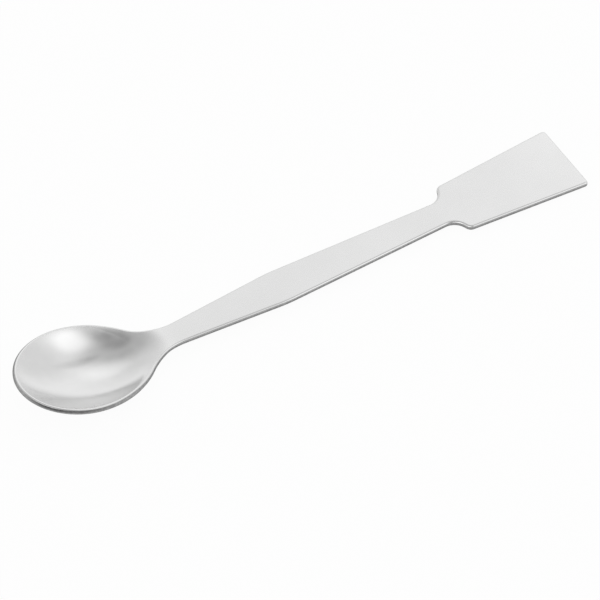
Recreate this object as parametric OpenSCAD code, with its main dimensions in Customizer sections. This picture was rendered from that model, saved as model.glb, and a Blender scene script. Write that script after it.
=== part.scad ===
// Double-ended laboratory spatula: a spoon bowl, a flat handle and a flat square-ended blade,
// blanked from one sheet of stainless steel, pressed in a die and tumbled until its edges are round.
//
// The blank is worked out flat, with x = 0 at the bowl's tip and x = blank_l at the blade's end, and
// z = 0 under the handle. The press then gives its bowl end a height, and the finished part is
// turned to lie as it rests, on the bottom of the bowl and the end of the blade.

/* [Blank] */
// Length of the flat blank, from the bowl's tip to the blade's end
blank_l = 150; // [125:1:200]
// Thickness of the sheet
sheet_t = 1.3; // [1:0.05:1.6]
// How far the rounding of the sheet's edges runs in on its faces
edge_in = 0.45; // [0.1:0.05:0.5]
// How far the rounding of the sheet's edges runs down the edge
edge_down = 0.45; // [0.1:0.05:0.45]

/* [Bowl outline] */
// Length of the bowl's oval
bowl_l = 34.8; // [26:0.2:44]
// Width of the bowl's oval, across the middle of its length
bowl_w = 25.6; // [20:0.2:32]
// How much wider than an ellipse the oval is at its tip, and narrower at the neck, as a share
bowl_egg = 0.12; // [0:0.01:0.25]
// How much slimmer than an ellipse the oval is towards both its ends, as a share
bowl_taper = 0.06; // [0:0.01:0.15]
// Radius of the hollow curve from the bowl into the handle
neck_r = 14.4; // [8:0.5:22]

/* [Press] */
// Depth of the dish below the plane of its rim
dish_depth = 4.8; // [3:0.1:6.5]
// Half the length over which the floor of the dish rolls out into the neck
lip_run = 3.7; // [1:0.1:6]
// Slope of the bowl's rim, up to its tip, against the handle
bowl_pitch = 9.6; // [0:0.2:16]
// Length of the bend between the bowl and the handle
bend_l = 12; // [6:0.5:14]
// How far the middle of the bend lies before the end of the oval
bend_setback = 0.6; // [0:0.1:6]

/* [Handle] */
// Width of the handle where it would meet the end of the oval
neck_w = 5.4; // [4:0.1:8]
// Width of the handle where it is widest
swell_w = 10.2; // [8.2:0.1:14]
// Distance from the end of the oval to the widest place
swell_run = 33.8; // [30:0.1:40]
// Radius that eases the two straight flanks into each other there
swell_r = 40; // [10:1:60]
// Width of the handle where it meets the blade
root_w = 7.2; // [5:0.1:8]

/* [Blade] */
// Length of the blade, from its root to its end
blade_l = 34.2; // [28:0.2:44]
// Width of the blade at its shoulders
shoulder_w = 15.2; // [14:0.1:18]
// Width of the blade at its end
end_w = 19.8; // [18:0.1:26]
// How far the shoulders slope forward
shoulder_run = 1.8; // [0:0.1:3]
// Radius of the hollow fillet at the blade's root
root_r = 3.8; // [1:0.1:5]
// Radius of the shoulders
shoulder_r = 1.8; // [0.6:0.1:3]
// Radius of the corners at the blade's end
corner_r = 0.9; // [0.6:0.1:3]

/* [Hidden] */

// Resolution: stations round the oval, stations in an arc and in the small corner of the blade's
// end, strips across the bowl, and facets in each rounding of an edge
OVAL_STEPS = 34;
ARC_STEPS = 10;
CORNER_STEPS = 3;
ACROSS = 24;
EDGE_STEPS = 3;
// Tries at halving the angle at which the neck's curve leaves the oval
HALVINGS = 40;
// How far the seam of the pressed and the flat end lies past all that is curved
SEAM_RUN = 1;
// Where along the bowl its lip starts to roll over, and how soft the rim is before that
LIP_START = 0.2;
CRISP = 0.02;

bowl_a = bowl_l / 2;
bowl_b = bowl_w / 2;
swell_x = bowl_l + swell_run;
root_x = blank_l - blade_l;
bend_x = bowl_l - bend_setback;

// ---------------------------------------------------------------- the blank's outline, flat
// The outline is symmetric, so only its y >= 0 half is worked out. It runs from the bowl's tip to
// the blade's end as stations: [x, y, outward x, outward y].

// Direction from one point to another, and the outward direction of an edge that runs along it
function heading(p, q) = atan2(q.y - p.y, q.x - p.x);
function outward(a) = [-sin(a), cos(a)];
function station(p, a) = concat(p, outward(a));

// The bowl's oval: an ellipse whose breadth changes along its length, from n = -1 at the tip to
// n = 1 at the neck. The angle t runs round it, from 0 at the tip to 180 at the neck.
function breadth(n) = bowl_b * (1 - bowl_egg * n - bowl_taper * n * n);
function breadth_slope(n) = -bowl_b * (bowl_egg + 2 * bowl_taper * n);
function oval(t) = [bowl_a * (1 - cos(t)), breadth(-cos(t)) * sin(t)];
function oval_heading(t) = atan2(
    breadth_slope(-cos(t)) * sin(t) * sin(t) + breadth(-cos(t)) * cos(t),
    bowl_a * sin(t)
);

// The handle's first flank, from the end of the oval to the widest place
flank_start = [bowl_l, neck_w / 2];
flank_end = [swell_x, swell_w / 2];
flank_heading = heading(flank_start, flank_end);

// The neck's curve touches the oval and the flank. Its centre lies neck_r outside both, and
// neck_miss() says how much too far from the flank it is when the curve leaves the oval at t.
function neck_centre(t) = oval(t) + neck_r * outward(oval_heading(t));
function neck_miss(t) = (neck_centre(t) - flank_start) * outward(flank_heading) - neck_r;
function leave_angle(lo = 90, hi = 179, tries = HALVINGS) =
    let (mid = (lo + hi) / 2)
    tries == 0 ? mid
    : neck_miss(mid) > 0 ? leave_angle(mid, hi, tries - 1)
    : leave_angle(lo, mid, tries - 1);
oval_end = leave_angle();
neck_c = neck_centre(oval_end);

// A hollow arc round centre c, whose edge turns from heading a0 to heading a1
function hollow_arc(c, r, a0, a1, steps = ARC_STEPS) = [
    for (i = [0 : steps]) let (a = a0 + (a1 - a0) * i / steps) station(c - r * outward(a), a)
];

// The rounding of corner q between the straight edges p-q and q-s. Its centre lies outside the
// blank where the edge turns left, and inside where it turns right.
function setback(p, q, s, r) = r * tan(abs(heading(q, s) - heading(p, q)) / 2);
function corner(p, q, s, r, steps = ARC_STEPS) =
    let (
        a0 = heading(p, q),
        a1 = heading(q, s),
        side = a1 > a0 ? -1 : 1,
        c = q - setback(p, q, s, r) * [cos(a0), sin(a0)] - side * r * outward(a0)
    )
    [for (i = [0 : steps]) let (a = a0 + (a1 - a0) * i / steps) station(c + side * r * outward(a), a)];

// Where the pressed end and the flat end of the blank meet: on the straight flank, past the neck's
// curve, the bend and the lip of the dish. The section there is square to x, so its outward
// direction is along y, and lengthened to suit the flank's slope.
neck_end = neck_c - neck_r * outward(flank_heading);
bend_end = bend_x + bend_l / 2;
lip_end = bowl_a * (1 + sqrt(1 + lip_softness(1)));
seam_x = max(neck_end.x, bend_end, lip_end) + SEAM_RUN;
seam = [
    seam_x,
    flank_start.y + (seam_x - flank_start.x) * tan(flank_heading),
    0,
    1 / cos(flank_heading)
];

pressed_outline = concat(
    [for (i = [0 : OVAL_STEPS - 1]) let (t = oval_end * i / OVAL_STEPS) station(oval(t), oval_heading(t))],
    hollow_arc(neck_c, neck_r, oval_heading(oval_end), flank_heading),
    [seam]
);

root_pt = [root_x, root_w / 2];
shoulder_pt = [root_x + shoulder_run, shoulder_w / 2];
end_pt = [blank_l, end_w / 2];
// The root's fillet and the shoulder's rounding share the edge between them, and shrink to fit it
shoulder_taken = setback(flank_end, root_pt, shoulder_pt, root_r)
    + setback(root_pt, shoulder_pt, end_pt, shoulder_r);
shoulder_fit = min(1, norm(shoulder_pt - root_pt) / shoulder_taken);
flat_outline = concat(
    [seam],
    corner(flank_start, flank_end, root_pt, swell_r, ARC_STEPS / 2),
    corner(flank_end, root_pt, shoulder_pt, shoulder_fit * root_r),
    corner(root_pt, shoulder_pt, end_pt, shoulder_fit * shoulder_r),
    corner(shoulder_pt, end_pt, [blank_l, 0], corner_r, CORNER_STEPS)
);

// ---------------------------------------------------------------- what the press does to it

// 0 below -w, x above w, and a smooth parabola between them
function ramp(x, w) = x <= -w ? 0 : x >= w ? x : (x + w) * (x + w) / (4 * w);
function ease(x) = let (c = min(max(x, 0), 1)) c * c * (3 - 2 * c);

// Height of the sheet's top face: the bend lifts the bowl's end, and the dish sinks into it. The
// dish is a paraboloid inside the oval. It meets the rim crisply all round the bowl, and only
// towards the neck does its lip roll over, ever more softly.
function lip_softness(n) = CRISP + 2 * lip_run / bowl_a * ease((n - LIP_START) / (1 - LIP_START));
function bend_lift(x) = tan(bowl_pitch) * ramp(bend_x - x, bend_l / 2);
function dish_sink(x, y) =
    let (n = x / bowl_a - 1, v = y / breadth(n))
    dish_depth * ramp(1 - n * n - v * v, lip_softness(n));
function top_z(x, y) = sheet_t + bend_lift(x) - dish_sink(x, y);

// The top face's slope, by a small step each way, and its unit normal
STEP = 0.001;
function slope(x, y) = [
    (top_z(x + STEP, y) - top_z(x - STEP, y)) / (2 * STEP),
    (top_z(x, y + STEP) - top_z(x, y - STEP)) / (2 * STEP)
];
function unit(v) = v / norm(v);
function normal(x, y) = let (g = slope(x, y)) unit([-g.x, -g.y, 1]);

// ---------------------------------------------------------------- the solid sheet

// The edge's rounded profile, from the top face to the bottom one: [in from the edge, below the top]
edge_profile = concat(
    [for (i = [0 : EDGE_STEPS]) let (a = 90 * i / EDGE_STEPS)
        [edge_in * (1 - sin(a)), edge_down * (1 - cos(a))]],
    [for (i = [EDGE_STEPS : -1 : 0]) let (a = 90 * i / EDGE_STEPS)
        [edge_in * (1 - sin(a)), sheet_t - edge_down * (1 - cos(a))]]
);
RING = len(edge_profile);

// The sheet's edge at a station, square to the pressed sheet there
function edge_ring(s) =
    let (
        x = s[0] - edge_in * s[2],
        y = s[1] - edge_in * s[3],
        n = normal(x, y),
        along = [s[3], -s[2]],
        out = norm(along) * unit(cross(n, concat(along, slope(x, y) * along)))
    )
    [for (p = edge_profile) [x, y, top_z(x, y)] + (edge_in - p[0]) * out - p[1] * n];

// The same edge on the other side of the sheet
function mirrored(points) = [for (p = points) [p.x, -p.y, p.z]];

// Points between two edges: on the top face, or a sheet's thickness below it
function inner_row(s, depth) =
    let (x = s[0] - edge_in * s[2], half = s[1] - edge_in * s[3])
    [for (j = [1 : ACROSS - 1]) let (y = half * (1 - 2 * j / ACROSS))
        [x, y, top_z(x, y)] - depth * normal(x, y)];

// Two triangles for a four-cornered patch that may be curved
function patch(a, b, c, d) = [[a, b, c], [a, c, d]];

// The bowl and neck: rings of edge points, with rows of points across both faces between them.
// At the tip the two sides share one ring, and the rows shrink to a point.
module pressed_end() {
    last = len(pressed_outline) - 1;
    per_row = 2 * RING + 2 * (ACROSS - 1);
    points = concat(
        edge_ring(pressed_outline[0]),
        [for (i = [1 : last]) let (s = pressed_outline[i], ring = edge_ring(s))
            each concat(ring, mirrored(ring), inner_row(s, 0), inner_row(s, sheet_t))]
    );
    // Number of a point: edge point k on side 0 or 1, or face point j from side 0 to side 1
    function edge(i, side, k) = i == 0 ? k : RING + (i - 1) * per_row + side * RING + k;
    function face(i, bottom, j) =
        i == 0 || j == 0 ? edge(i, 0, bottom * (RING - 1))
        : j == ACROSS ? edge(i, 1, bottom * (RING - 1))
        : RING + (i - 1) * per_row + 2 * RING + bottom * (ACROSS - 1) + j - 1;
    tip = [
        for (j = [0 : ACROSS - 1])
            each [
                [face(0, 0, 0), face(1, 0, j), face(1, 0, j + 1)],
                [face(0, 1, 0), face(1, 1, j + 1), face(1, 1, j)]
            ]
    ];
    faces = [
        for (i = [1 : last - 1], j = [0 : ACROSS - 1])
            each concat(
                patch(face(i, 0, j), face(i + 1, 0, j), face(i + 1, 0, j + 1), face(i, 0, j + 1)),
                patch(face(i, 1, j + 1), face(i + 1, 1, j + 1), face(i + 1, 1, j), face(i, 1, j))
            )
    ];
    edges = [
        for (i = [0 : last - 1], k = [0 : RING - 2])
            each concat(
                patch(edge(i + 1, 0, k), edge(i, 0, k), edge(i, 0, k + 1), edge(i + 1, 0, k + 1)),
                patch(edge(i, 1, k), edge(i + 1, 1, k), edge(i + 1, 1, k + 1), edge(i, 1, k + 1))
            )
    ];
    seam_face = concat(
        [for (k = [RING / 2 : -1 : 0]) edge(last, 1, k)],
        [for (j = [ACROSS - 1 : -1 : 1]) face(last, 0, j)],
        [for (k = [0 : RING - 1]) edge(last, 0, k)],
        [for (j = [1 : ACROSS - 1]) face(last, 1, j)],
        [for (k = [RING - 1 : -1 : RING / 2 + 1]) edge(last, 1, k)]
    );
    polyhedron(points, concat(tip, faces, edges, [seam_face]));
}

// The handle and blade: the same rings of edge points, with flat faces straight across
module flat_end() {
    last = len(flat_outline) - 1;
    points = [
        for (s = flat_outline) let (ring = edge_ring(s))
            each concat(ring, mirrored(ring))
    ];
    function edge(i, side, k) = (2 * i + side) * RING + k;
    bottom = RING - 1;
    faces = [
        for (i = [0 : last - 1])
            each [
                [edge(i, 0, 0), edge(i + 1, 0, 0), edge(i + 1, 1, 0), edge(i, 1, 0)],
                [edge(i, 1, bottom), edge(i + 1, 1, bottom), edge(i + 1, 0, bottom), edge(i, 0, bottom)]
            ]
    ];
    edges = [
        for (i = [0 : last - 1], k = [0 : RING - 2])
            each concat(
                patch(edge(i + 1, 0, k), edge(i, 0, k), edge(i, 0, k + 1), edge(i + 1, 0, k + 1)),
                patch(edge(i, 1, k), edge(i + 1, 1, k), edge(i + 1, 1, k + 1), edge(i, 1, k + 1))
            )
    ];
    blade_end = [
        for (k = [0 : RING - 2])
            [edge(last, 1, k), edge(last, 0, k), edge(last, 0, k + 1), edge(last, 1, k + 1)]
    ];
    seam_face = concat(
        [for (k = [0 : RING - 1]) edge(0, 1, k)],
        [for (k = [RING - 1 : -1 : 0]) edge(0, 0, k)]
    );
    polyhedron(points, concat(faces, edges, blade_end, [seam_face]));
}

// ---------------------------------------------------------------- how it lies at rest

// It stands on the end of its flat underside, the pivot, and on the lowest point of the bowl. The
// tilt is the steepest line from the pivot that touches the bowl's underside from below.
pivot_x = blank_l - edge_in;
rest_tilt = max([
    for (s = pressed_outline)
        let (x = s[0] - edge_in * s[2], p = [x, 0, top_z(x, 0)] - sheet_t * normal(x, 0))
            atan2(-p.z, pivot_x - p.x)
]);

// How far right of the pivot a point lies once the part is tilted, and the middle of its length
function rest_x(p) = (p.x - pivot_x) * cos(rest_tilt) + p.z * sin(rest_tilt);
tip_x = min([for (p = edge_ring(pressed_outline[0])) rest_x(p)]);
end_x = max([for (p = edge_ring(flat_outline[len(flat_outline) - 1])) rest_x(p)]);
middle_x = (tip_x + end_x) / 2;

module at_rest()
    translate([-middle_x, 0, 0])
        rotate([0, rest_tilt, 0])
            translate([-pivot_x, 0, 0])
                children();

module spatula()
    color("silver")
        at_rest()
            union() {
                pressed_end();
                flat_end();
            }

spatula();
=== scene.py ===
# A pressed and tumbled stainless steel spoon-spatula, lying in a plain pale studio.
import math

import bpy
import numpy as np
from mathutils import Matrix, Vector


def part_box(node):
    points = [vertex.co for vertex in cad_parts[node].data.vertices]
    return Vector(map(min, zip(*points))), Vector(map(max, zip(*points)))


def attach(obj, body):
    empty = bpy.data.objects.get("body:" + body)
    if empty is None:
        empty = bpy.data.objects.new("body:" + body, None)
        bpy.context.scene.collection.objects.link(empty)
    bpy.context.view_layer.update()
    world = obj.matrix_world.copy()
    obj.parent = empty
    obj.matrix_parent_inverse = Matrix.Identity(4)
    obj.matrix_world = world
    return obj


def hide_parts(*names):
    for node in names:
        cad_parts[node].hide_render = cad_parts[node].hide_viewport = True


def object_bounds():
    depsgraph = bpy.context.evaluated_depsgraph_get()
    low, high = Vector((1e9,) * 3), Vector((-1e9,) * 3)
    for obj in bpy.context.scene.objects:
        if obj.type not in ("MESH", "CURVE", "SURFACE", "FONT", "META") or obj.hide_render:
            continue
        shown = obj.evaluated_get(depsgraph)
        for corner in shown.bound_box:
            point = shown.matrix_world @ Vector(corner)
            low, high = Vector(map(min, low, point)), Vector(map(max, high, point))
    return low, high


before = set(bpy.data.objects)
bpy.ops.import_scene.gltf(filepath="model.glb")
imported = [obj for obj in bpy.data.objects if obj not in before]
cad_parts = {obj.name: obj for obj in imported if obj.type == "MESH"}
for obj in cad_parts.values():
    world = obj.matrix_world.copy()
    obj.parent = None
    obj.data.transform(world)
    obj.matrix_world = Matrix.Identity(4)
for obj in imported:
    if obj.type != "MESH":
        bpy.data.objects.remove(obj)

MM = 0.001
NODE = "spatula"
CAD_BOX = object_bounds()

# ---------------------------------------------------------------- driving dimensions, in mm
# The blank lies flat with x = 0 at the bowl's tip and z = 0 under the handle.

BLANK_L = 150.0
SHEET_T = 1.3
EDGE_IN = 0.45  # the edges' rounding: in over the face, and down the wall
EDGE_DOWN = 0.45
SOFT_IN = 0.7  # the upper edge's wider rounding on the handle and blade
SOFT_RUN = 12.0  # the length over which it widens, past the bowl

BOWL_L = 34.8
BOWL_W = 25.6
BOWL_EGG = 0.12  # share that the oval loses towards the neck and gains towards the tip
BOWL_TAPER = 0.06  # share that it loses towards both
NECK_R = 14.4  # concave arcs from the oval into the handle
DISH_DEPTH = 4.8
CRISP = 0.02  # softness of the dish's lip round the tip and the sides
LIP_START = 0.2  # share of the half length past the middle where the lip begins to soften
LIP_RUN = 3.7  # how far the lip runs out at the neck
BOWL_PITCH = 9.6  # degrees by which the bowl's end rises
BEND_L = 12.0
BEND_SETBACK = 0.6  # from the bowl's end back to the middle of the bend

NECK_W = 5.4
SWELL_W = 10.2
SWELL_RUN = 33.8  # from the bowl to the handle's widest place
SWELL_R = 40.0
ROOT_W = 7.2

BLADE_L = 34.2
SHOULDER_W = 15.2
SHOULDER_RUN = 1.8
END_W = 19.8
ROOT_R = 3.8
SHOULDER_R = 1.8
CORNER_R = 0.9

BOWL_A = BOWL_L / 2
BOWL_B = BOWL_W / 2
BEND_X = BOWL_L - BEND_SETBACK
ROOT_X = BLANK_L - BLADE_L

# Fineness of the mesh
OVAL_STEPS = 120  # stations round half the oval
ARC_STEPS = 16  # stations in each arc
GAP = 1.0  # the longest step along a straight edge
ACROSS = 64  # strips across a face
ROUND_STEPS = 8  # facets in an edge's rounding
WALL_STEPS = 3  # facets in the wall between two roundings
HALVINGS = 50  # in the search for the neck's arc
SLOPE_STEP = 1e-3
BELLY = (0.02, 0.9, 2000)  # where along the bowl its lowest point is sought, and in how many steps
BOX_MARGIN = 1e-5  # share by which the fine form stays inside the CAD node's box

# ---------------------------------------------------------------- the form


def unit(v):
    return v / np.linalg.norm(v, axis=-1, keepdims=True)


def breadth(n):
    """Half the oval's breadth. n runs from -1 at the tip to 1 at the neck."""
    return BOWL_B * (1 - BOWL_EGG * n - BOWL_TAPER * n * n)


def oval(t):
    return np.array([BOWL_A * (1 - np.cos(t)), breadth(-np.cos(t)) * np.sin(t)])


def oval_heading(t):
    n = -np.cos(t)
    rise = -BOWL_B * (BOWL_EGG + 2 * BOWL_TAPER * n) * np.sin(t) ** 2 + breadth(n) * np.cos(t)
    return np.arctan2(rise, BOWL_A * np.sin(t))


def outward(a):
    """To the left of heading a, which is out of the blank all along its outline."""
    return np.array([-np.sin(a), np.cos(a)])


def heading(p, q):
    return np.arctan2(q[1] - p[1], q[0] - p[0])


def ease(x):
    c = np.clip(x, 0, 1)
    return c * c * (3 - 2 * c)


def ramp(x, w):
    """0 below -w, x above w, and a smooth parabola between them."""
    return np.where(x <= -w, 0, np.where(x >= w, x, (x + w) ** 2 / (4 * w)))


def lip_softness(n):
    return CRISP + 2 * LIP_RUN / BOWL_A * ease((n - LIP_START) / (1 - LIP_START))


def dish_share(x, y):
    """0 outside the bowl's oval, 1 at the middle of the dish."""
    n = x / BOWL_A - 1
    return ramp(1 - n * n - (y / breadth(n)) ** 2, lip_softness(n))


def top_z(x, y):
    lift = np.tan(np.radians(BOWL_PITCH)) * ramp(BEND_X - x, BEND_L / 2)
    return SHEET_T + lift - DISH_DEPTH * dish_share(x, y)


def slopes(x, y):
    step = SLOPE_STEP
    return (
        (top_z(x + step, y) - top_z(x - step, y)) / (2 * step),
        (top_z(x, y + step) - top_z(x, y - step)) / (2 * step),
    )


def upward(gx, gy):
    """The unit normal of a face with these slopes."""
    return unit(np.stack([-gx, -gy, np.ones_like(gx)], -1))


def arc(c, r, side, a0, a1):
    """Stations [x, y, outward x, outward y] round an arc. Its centre lies outside (-1) or inside (1)."""
    return [
        np.concatenate([c + side * r * outward(a), outward(a)])
        for a in np.linspace(a0, a1, ARC_STEPS + 1)
    ]


def corner(p, q, s, r):
    """The rounding of corner q between the straight edges p-q and q-s."""
    a0, a1 = heading(p, q), heading(q, s)
    side = -1 if a1 > a0 else 1
    back = r * np.tan(abs(a1 - a0) / 2)
    c = q - back * np.array([np.cos(a0), np.sin(a0)]) - side * r * outward(a0)
    return arc(c, r, side, a0, a1)


def neck_arc(neck, flank):
    """Where the neck's arc leaves the oval, and its centre, so that it ends on the handle's flank."""
    lo, hi = math.pi / 2, math.pi
    for _ in range(HALVINGS):
        t = (lo + hi) / 2
        centre = oval(t) + NECK_R * outward(oval_heading(t))
        lo, hi = (t, hi) if (centre - neck) @ outward(flank) > NECK_R else (lo, t)
    return t, centre


def fill_straights(stations):
    """Adds stations along the straight runs, no further apart than GAP."""
    spaced = stations[:1]
    for s in stations[1:]:
        p = spaced[-1]
        pieces = math.ceil(np.linalg.norm(s[:2] - p[:2]) / GAP)
        for i in range(1, pieces + 1):
            q = p + (s - p) * i / pieces
            spaced.append(np.concatenate([q[:2], unit(q[2:])]))
    return np.array(spaced)


def outline():
    """The y >= 0 half of the blank's edge, from the bowl's tip to the blade's end."""
    neck = np.array([BOWL_L, NECK_W / 2])
    swell = np.array([BOWL_L + SWELL_RUN, SWELL_W / 2])
    root = np.array([ROOT_X, ROOT_W / 2])
    shoulder = np.array([ROOT_X + SHOULDER_RUN, SHOULDER_W / 2])
    end = np.array([BLANK_L, END_W / 2])
    flank = heading(neck, swell)

    t, centre = neck_arc(neck, flank)
    turns = np.linspace(0, t, OVAL_STEPS + 1)[:-1]
    rim = [np.concatenate([oval(a), outward(oval_heading(a))]) for a in turns]
    return fill_straights(
        rim
        + arc(centre, NECK_R, -1, oval_heading(t), flank)
        + corner(neck, swell, root, SWELL_R)
        + corner(swell, root, shoulder, ROOT_R)
        + corner(root, shoulder, end, SHOULDER_R)
        + corner(shoulder, end, np.array([BLANK_L, 0]), CORNER_R)
    )


# ---------------------------------------------------------------- the mesh


def rounding(width):
    """From the flat face (row 0) to the wall: in, down, normal outward, normal up."""
    a = np.linspace(0, math.pi / 2, ROUND_STEPS + 1)
    width = width[:, None]
    depth = np.full_like(width, EDGE_DOWN)
    inset = width * (1 - np.sin(a))
    down = depth * (1 - np.cos(a))
    normal = unit(np.stack([np.sin(a) / width, np.cos(a) / depth], -1))
    return np.stack([inset, down, normal[..., 0], normal[..., 1]], -1)


def edge_rows(upper, lower):
    """Each station's edge from the top face to the bottom one, and each row's share of wall, 0 to 1.

    The share grows twice as fast on the lower half, so that the wall's darker tone, partly painted shade
    of the shadowed floor below the part, spreads further round there.
    """
    top = rounding(upper)
    low = rounding(lower)[:, ::-1] * [1, -1, 1, -1] + [0, SHEET_T, 0, 0]
    down = np.linspace(EDGE_DOWN, SHEET_T - EDGE_DOWN, WALL_STEPS + 1)[1:-1]
    none = np.zeros_like(down)
    wall = np.stack([none, down, none + 1, none], 1)
    rows = np.concatenate([top, np.broadcast_to(wall, (len(top), *wall.shape)), low], 1)

    share = 1 - np.arctan2(np.abs(rows[..., 3]), rows[..., 2]) / (math.pi / 2)
    upper_rows = ROUND_STEPS + 1
    share[:, upper_rows:] = np.minimum(2 * share[:, upper_rows:], 1)
    return rows, share


def edge_ring(stations, upper, rows):
    """Points and normals of the edge's rows, square to the pressed top face at its border."""
    border = stations[:, :2] - upper[:, None] * stations[:, 2:]
    gx, gy = slopes(*border.T)
    up = upward(gx, gy)
    along = np.stack([stations[:, 3], -stations[:, 2], gx * stations[:, 3] - gy * stations[:, 2]], 1)
    out = unit(np.cross(up, along))
    rim = np.column_stack([border, top_z(*border.T)])
    reach = upper[:, None] - rows[..., 0]
    points = rim[:, None] + reach[..., None] * out[:, None] - rows[..., 1, None] * up[:, None]
    normals = rows[..., 2, None] * out[:, None] + rows[..., 3, None] * up[:, None]
    return points, normals


def inner_face(stations, inset):
    """Points of the top face inside its border, and their normals."""
    border = stations[1:, :2] - inset[1:, None] * stations[1:, 2:]
    share = 1 - 2 * np.arange(1, ACROSS) / ACROSS
    x = np.repeat(border[:, :1], ACROSS - 1, 1)
    y = border[:, 1:] * share
    return np.stack([x, y, top_z(x, y)], -1), upward(*slopes(x, y))


class Skin:
    """Points with their normals and masks, and the faces between them."""

    def __init__(self):
        self.points, self.normals, self.masks, self.faces = [], [], [], []
        self.count = 0

    def add(self, points, normals, edge, dish):
        """Adds points and returns their numbers, in the same array shape."""
        shape = points.shape[:-1]
        self.points.append(points.reshape(-1, 3))
        self.normals.append(np.broadcast_to(normals, points.shape).reshape(-1, 3))
        masks = np.stack([np.broadcast_to(edge, shape), np.broadcast_to(dish, shape)], -1)
        self.masks.append(masks.reshape(-1, 2))
        first = self.count
        self.count += math.prod(shape)
        return np.arange(first, self.count).reshape(shape)

    def cover(self, grid):
        """Faces over a grid of point numbers. Seen from their front, a step along a row and then one
        to the next row turn left.
        """
        corners = (grid[:-1, :-1], grid[:-1, 1:], grid[1:, 1:], grid[1:, :-1])
        for numbers in zip(*(c.ravel().tolist() for c in corners)):
            self.faces.append(list(dict.fromkeys(numbers)))  # at the tip, four corners shrink to three


def sheet_skin():
    """The whole pressed sheet, in mm on the flat blank's axes."""
    stations = outline()
    upper = EDGE_IN + (SOFT_IN - EDGE_IN) * ease((stations[:, 0] - BOWL_L) / SOFT_RUN)
    lower = np.full(len(stations), EDGE_IN)
    rows, edge = edge_rows(upper, lower)
    ring, ring_n = edge_ring(stations, upper, rows)
    face_top, top_n = inner_face(stations, upper)
    face_low, low_n = inner_face(stations, lower)
    mirror = np.array([1, -1, 1])

    skin = Skin()
    tip = skin.add(ring[:1], ring_n[:1], edge[:1], 0)
    left = np.concatenate([tip, skin.add(ring[1:], ring_n[1:], edge[1:], 0)])
    right = np.concatenate([tip, skin.add(ring[1:] * mirror, ring_n[1:] * mirror, edge[1:], 0)])
    inner_top = skin.add(face_top, top_n, 0, dish_share(face_top[..., 0], face_top[..., 1]))
    inner_low = skin.add(face_low - SHEET_T * low_n, -low_n, 0, 0)

    def across(inner, k):
        """Rows from the left rim to the right one; at the tip they shrink to a point."""
        first = np.full((1, ACROSS - 1), tip[0, k])
        return np.hstack([left[:, k, None], np.vstack([first, inner]), right[:, k, None]])

    top, low = across(inner_top, 0), across(inner_low, -1)
    share = (np.arange(1, ACROSS) / ACROSS)[None, :, None]
    end_left = ring[-1][1:-1, None]
    end = end_left + share * (end_left * mirror - end_left)
    inner_end = skin.add(end, ring_n[-1][1:-1, None], edge[-1, 1:-1, None], 0)
    cap = np.hstack([left[-1, 1:-1, None], inner_end, right[-1, 1:-1, None]])

    skin.cover(top)
    skin.cover(low[:, ::-1])
    skin.cover(left[:, ::-1])
    skin.cover(right)
    skin.cover(np.vstack([top[-1:], cap, low[-1:]]))
    return skin


def lay_down(points, normals):
    """Turns the sheet to lie on the bottom of the bowl and the end of the blade, as the CAD does."""
    pivot = np.array([BLANK_L - EDGE_IN, 0, 0])
    x = np.linspace(*BELLY) * BOWL_L
    middle = np.zeros_like(x)
    gx, _ = slopes(x, middle)
    underside = np.stack([x, top_z(x, middle)], 1) - SHEET_T * unit(np.stack([-gx, np.ones_like(gx)], 1))
    a = np.arctan2(-underside[:, 1], pivot[0] - underside[:, 0]).max()
    turn = np.array([[math.cos(a), 0, -math.sin(a)], [0, 1, 0], [math.sin(a), 0, math.cos(a)]])
    return (points - pivot) @ turn * MM, normals @ turn


def fit_to_box(points, normals, box):
    """Brings the fine form into the CAD node's box, which it misses by hundredths of a mm."""
    lo, hi = np.array(box[0]), np.array(box[1])
    own_lo, own_hi = points.min(0), points.max(0)
    scale = (hi - lo) / (own_hi - own_lo) * (1 - BOX_MARGIN)
    middle = (own_lo + own_hi) / 2
    return (points - middle) * scale + (lo + hi) / 2, unit(normals / scale)


def make_spatula(material):
    skin = sheet_skin()
    points, normals = lay_down(np.concatenate(skin.points), np.concatenate(skin.normals))
    points, normals = fit_to_box(points, normals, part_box(NODE))
    mesh = bpy.data.meshes.new("spatula_sheet")
    mesh.from_pydata(points.tolist(), [], skin.faces)
    mesh.validate(clean_customdata=False)
    mesh.shade_smooth()
    mesh.normals_split_custom_set_from_vertices(normals.tolist())
    masks = np.concatenate(skin.masks).astype(np.float32)
    for name, values in zip(("edge", "dish"), masks.T):
        mesh.attributes.new(name, "FLOAT", "POINT").data.foreach_set("value", values.copy())
    mesh.materials.append(material)
    piece = bpy.data.objects.new("spatula_sheet", mesh)
    bpy.context.collection.objects.link(piece)
    return piece


# ---------------------------------------------------------------- shader helpers

NOISE_LOW, NOISE_HIGH = 0.3, 0.7  # most of a noise lies between these
WHITE = (1, 1, 1, 1)


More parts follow.
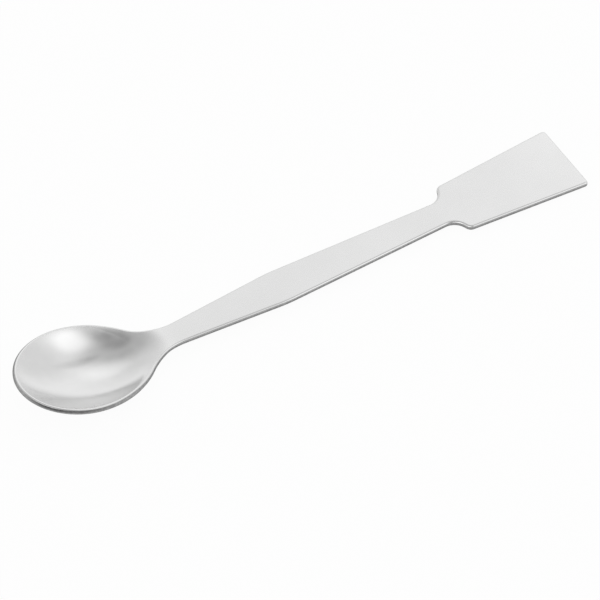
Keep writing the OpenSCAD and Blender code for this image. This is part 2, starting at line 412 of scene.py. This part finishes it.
class Graph:
    """A node tree whose nodes are made by one call each."""

    def __init__(self, tree):
        self.tree = tree
        tree.nodes.clear()

    def node(self, kind, inputs=None, **settings):
        n = self.tree.nodes.new("ShaderNode" + kind)
        for key, value in settings.items():
            setattr(n, key, value)
        for key, value in (inputs or {}).items():
            self.put(n.inputs[key], value)
        return n

    def put(self, socket, value):
        if isinstance(value, bpy.types.NodeSocket):
            self.tree.links.new(value, socket)
        else:
            socket.default_value = value

    def math(self, operation, a, b=0.0, c=0.0):
        return self.node("Math", {0: a, 1: b, 2: c}, operation=operation).outputs[0]

    def remap(self, value, a, b, c, d, smooth=False):
        """From a..b to c..d, clamped."""
        kind = "SMOOTHSTEP" if smooth else "LINEAR"
        inputs = {"Value": value, "From Min": a, "From Max": b, "To Min": c, "To Max": d}
        return self.node("MapRange", inputs, interpolation_type=kind).outputs[0]

    def share(self, value, none, full):
        """A soft 0 to 1, as value goes from none to full."""
        return self.remap(value, none, full, 0.0, 1.0, smooth=True)

    def mix(self, factor, a, b):
        return self.node("Mix", {0: factor, 2: a, 3: b}, data_type="FLOAT").outputs[0]

    def dot(self, a, b):
        return self.node("VectorMath", {0: a, 1: b}, operation="DOT_PRODUCT").outputs["Value"]

    def grey(self, level):
        return self.node("CombineColor", {0: level, 1: level, 2: level}).outputs[0]

    def noise(self, vector, scale, detail=2.0, rough=0.5):
        inputs = {"Vector": vector, "Scale": scale, "Detail": detail, "Roughness": rough}
        return self.node("TexNoise", inputs).outputs["Fac"]

    def stretch(self, noise, low, high):
        """A noise brought to low..high."""
        return self.remap(noise, NOISE_LOW, NOISE_HIGH, low, high)


# ---------------------------------------------------------------- stainless steel
# Two masks on the mesh drive it: "edge", 0 on the faces and 1 on the wall, and "dish", 0 outside
# the bowl and 1 at its middle. Noise scales are in cycles per metre.

CLOUD_SCALE = 70.0
MOTTLE_SCALE = 500.0
GRAIN_SCALE = 3800.0
STREAK_SCALE = (2200.0, 2200.0, 200.0)  # fine along the edge and long down the wall

POLISHED = (0.02, 0.3)  # where in "dish" the bowl's polish starts and is full
ROUNDED = (0.05, 0.35)  # where in "edge" the tumbled rounding does
SHEARED = (0.58, 0.88)  # and where the sheared wall does

ROUGH_FLAT = 0.27
ROUGH_DISH = 0.13
ROUGH_ROUNDED = 0.14
ROUGH_SHEARED = 0.3
ROUGH_MOTTLE = 0.03

TONE = 0.72
TONE_SHEARED_SHADE = (0.3, 0.42)  # the sheared wall, between the streaks and on them: partly its dull torn metal, partly painted shade of the shadowed floor that the wall mirrors
TONE_CLOUD = 0.012
TONE_MOTTLE = 0.01
TONE_END_LIFT = 0.03  # added towards the blade's end, which is made lighter
END_LIFT_FROM, END_LIFT_TO = 52 * MM, 73 * MM  # along the part, from its middle
WARMTH = 0.998  # blue's share of the red and the green

GRAZE_SHEARED = 0.55  # torn metal brightens less at a glancing look, and this deepens the wall's painted shade
MOTTLE_HEIGHT = 0.6
GRAIN_HEIGHT = 0.1
BUMP_STRENGTH = 0.15
BUMP_DISTANCE = 0.02 * MM


def steel_material():
    m = bpy.data.materials.new("tumbled_stainless_steel")
    m.use_nodes = True
    g = Graph(m.node_tree)
    place = g.node("TexCoord").outputs["Object"]
    along = g.node("SeparateXYZ", {0: place}).outputs[0]
    edge = g.node("Attribute", attribute_name="edge").outputs["Fac"]
    dish = g.node("Attribute", attribute_name="dish").outputs["Fac"]

    cloud = g.noise(place, CLOUD_SCALE)
    mottle = g.noise(place, MOTTLE_SCALE, detail=4.0, rough=0.6)
    grain = g.noise(place, GRAIN_SCALE, rough=0.6)
    streak = g.noise(g.node("Mapping", {"Vector": place, "Scale": STREAK_SCALE}).outputs[0], 1.0)

    polished = g.share(dish, *POLISHED)
    rounded = g.share(edge, *ROUNDED)
    sheared = g.share(edge, *SHEARED)

    rough = g.mix(polished, ROUGH_FLAT, ROUGH_DISH)
    rough = g.mix(rounded, rough, ROUGH_ROUNDED)
    rough = g.mix(sheared, rough, ROUGH_SHEARED)
    rough = g.math("ADD", rough, g.stretch(mottle, -ROUGH_MOTTLE, ROUGH_MOTTLE))

    # The sheared wall's darker tone is partly its dull torn metal and partly painted shade of the
    # shadowed floor it mirrors.
    tone = g.mix(sheared, TONE, g.stretch(streak, *TONE_SHEARED_SHADE))
    tone = g.math("ADD", tone, g.stretch(cloud, -TONE_CLOUD, TONE_CLOUD))
    # Lighter towards the blade's end.
    tone = g.math("ADD", tone, g.remap(along, END_LIFT_FROM, END_LIFT_TO, 0.0, TONE_END_LIFT, smooth=True))
    tone = g.math("ADD", tone, g.stretch(mottle, -TONE_MOTTLE, TONE_MOTTLE))
    colour = g.node("CombineColor", {0: tone, 1: tone, 2: g.math("MULTIPLY", tone, WARMTH)})

    mottle_height = g.math("MULTIPLY", mottle, MOTTLE_HEIGHT)
    height = g.math("ADD", mottle_height, g.math("MULTIPLY", grain, GRAIN_HEIGHT))
    bump = {"Strength": BUMP_STRENGTH, "Distance": BUMP_DISTANCE, "Height": height}

    inputs = {
        "Base Color": colour.outputs[0],
        "Metallic": 1.0,
        "Specular Tint": g.grey(g.mix(sheared, 1.0, GRAZE_SHEARED)),
        "Roughness": rough,
        "Normal": g.node("Bump", bump).outputs[0],
    }
    shader = g.node("BsdfPrincipled", inputs)
    g.node("OutputMaterial", {"Surface": shader.outputs[0]})
    return m


# ---------------------------------------------------------------- camera

VIEW_AZIMUTH = math.radians(31.272)  # how far the camera's right-hand direction turns off the blade's
VIEW_ELEVATION = math.radians(50.438)
VIEW_DISTANCE = 1.0  # in metres, along its line of sight, from the part's origin
VIEW_SHIFT = (0.028 * MM, 3.815 * MM)  # of the part's origin from the picture's centre
LENS = 254.58
SENSOR = 36.0
CLIP = (0.01, 50)  # nearest and furthest that it sees, in metres

RIGHT = Vector((math.cos(VIEW_AZIMUTH), -math.sin(VIEW_AZIMUTH), 0))
AWAY = Vector((math.sin(VIEW_AZIMUTH), math.cos(VIEW_AZIMUTH), 0))
UP = Vector((0, 0, 1))
LOOK = AWAY * math.cos(VIEW_ELEVATION) - UP * math.sin(VIEW_ELEVATION)


def make_camera():
    top = RIGHT.cross(LOOK)
    data = bpy.data.cameras.new("camera")
    data.lens, data.sensor_width = LENS, SENSOR
    data.clip_start, data.clip_end = CLIP
    camera = bpy.data.objects.new("camera", data)
    place = -(VIEW_SHIFT[0] * RIGHT + VIEW_SHIFT[1] * top + VIEW_DISTANCE * LOOK)
    turn = Matrix((RIGHT, top, -LOOK)).transposed().to_4x4()
    camera.matrix_world = Matrix.Translation(place) @ turn
    bpy.context.collection.objects.link(camera)
    bpy.context.scene.camera = camera


# ---------------------------------------------------------------- studio
# The light is one soft surround with soft oval cards on it, lighter or darker than it. A card's
# place is two angles in degrees off the vertical: to the right of the camera, and away from it.

SURROUND = 1.1
CARDS = [  # right, away, half size across and along that direction, softness, lighter (+) or darker (-)
    (-10, -35, 25, 18, 0.25, 0.7),  # a large softbox on the camera's left
    (35, -5, 15, 12, 0.5, 0.35),  # a small one on the right
    (90, 0, 50, 10, 0.5, 0.3),  # a pale wall low on the right, under a grey one
    (70, -20, 25, 15, 0.5, -0.3),
    (0, 40, 15, 15, 0.5, 0.15),  # a weak fill that the flats show
    (0, 5, 30, 25, 0.6, -0.45),  # the gap between the softboxes
    (0, -10, 15, 15, 0.5, -0.25),
    (25, 25, 5, 15, 0.5, -0.2),
    (20, -25, 15, 15, 0.5, -0.35),
    (-35, 35, 30, 30, 0.7, -0.25),  # greyer walls away from the lamps
    (55, 35, 25, 20, 0.5, -0.2),
    (0, 95, 60, 10, 0.5, -0.3),
    (10, -60, 45, 20, 0.5, -0.9),  # the dark of the room behind the camera
    (-45, -45, 35, 15, 0.5, -0.55),
]
DARKEST = 0.02  # no overlap of cards goes below it
HORIZON = 0.75  # level at the floor's far edge
HORIZON_BAND = 3.0  # degrees up to where it fades

FLOOR_HALF = 6.0  # half its side, in metres
FLOOR_COLOUR = (0.9, 0.9, 0.9, 1)
FLOOR_SEEN = 0.95  # shares of even white in the floor, to the eye and in the steel
FLOOR_MIRRORED = 0.3


def card_share(g, toward, right, away, across, along, soft):
    """1 inside a card, 0 outside it and on the far side of the sky, and soft between them."""
    off, turn = math.radians(math.hypot(right, away)), math.atan2(away, right)
    flat = RIGHT * math.cos(turn) + AWAY * math.sin(turn)
    side = AWAY * math.cos(turn) - RIGHT * math.sin(turn)
    centre = flat * math.sin(off) + UP * math.cos(off)
    u = g.dot(toward, side / math.sin(math.radians(across)))
    v = g.dot(toward, centre.cross(side) / math.sin(math.radians(along)))
    reach = g.math("SQRT", g.math("ADD", g.math("MULTIPLY", u, u), g.math("MULTIPLY", v, v)))
    front = g.math("GREATER_THAN", g.dot(toward, centre), 0.0)
    return g.math("MULTIPLY", g.share(reach, 1 + soft, 1 - soft), front)


def make_world():
    """The studio. The camera itself sees plain white past the floor's edge."""
    world = bpy.data.worlds.new("studio")
    world.use_nodes = True
    bpy.context.scene.world = world
    g = Graph(world.node_tree)
    toward = g.node("TexCoord").outputs["Generated"]
    level = SURROUND
    for *card, change in CARDS:
        level = g.math("MULTIPLY_ADD", card_share(g, toward, *card), change, level)
    level = g.math("MAXIMUM", level, DARKEST)
    height = g.dot(toward, UP)
    level = g.mix(g.share(height, math.sin(math.radians(HORIZON_BAND)), 0.0), level, HORIZON)
    level = g.mix(g.node("LightPath").outputs["Is Camera Ray"], level, 1.0)
    light = g.node("Background", {"Color": g.grey(level)})
    g.node("OutputWorld", {"Surface": light.outputs[0]})


def floor_material():
    """Matt and pale, and partly an even white to the eye and in the steel. The rest keeps the shadow."""
    m = bpy.data.materials.new("pale_floor")
    m.use_nodes = True
    g = Graph(m.node_tree)
    path = g.node("LightPath").outputs
    mirrored = g.math("MAXIMUM", path["Is Glossy Ray"], path["Is Transmission Ray"])
    even = g.math("MULTIPLY", path["Is Camera Ray"], FLOOR_SEEN)
    even = g.math("MAXIMUM", even, g.math("MULTIPLY", mirrored, FLOOR_MIRRORED))
    matt = g.node("BsdfDiffuse", {"Color": FLOOR_COLOUR})
    glow = g.node("Emission", {"Color": WHITE, "Strength": 1.0})
    both = g.node("MixShader", {0: even, 1: matt.outputs[0], 2: glow.outputs[0]})
    g.node("OutputMaterial", {"Surface": both.outputs[0]})
    return m


def make_floor():
    h, z = FLOOR_HALF, CAD_BOX[0].z
    mesh = bpy.data.meshes.new("floor")
    mesh.from_pydata([(-h, -h, z), (h, -h, z), (h, h, z), (-h, h, z)], [], [(0, 1, 2, 3)])
    mesh.materials.append(floor_material())
    floor = bpy.data.objects.new("floor", mesh)
    bpy.context.collection.objects.link(floor)


# ---------------------------------------------------------------- scene

spatula = make_spatula(steel_material())
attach(spatula, "root")
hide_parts(NODE)
make_camera()
make_world()
make_floor()
bpy.context.scene.view_settings.view_transform = "Standard"
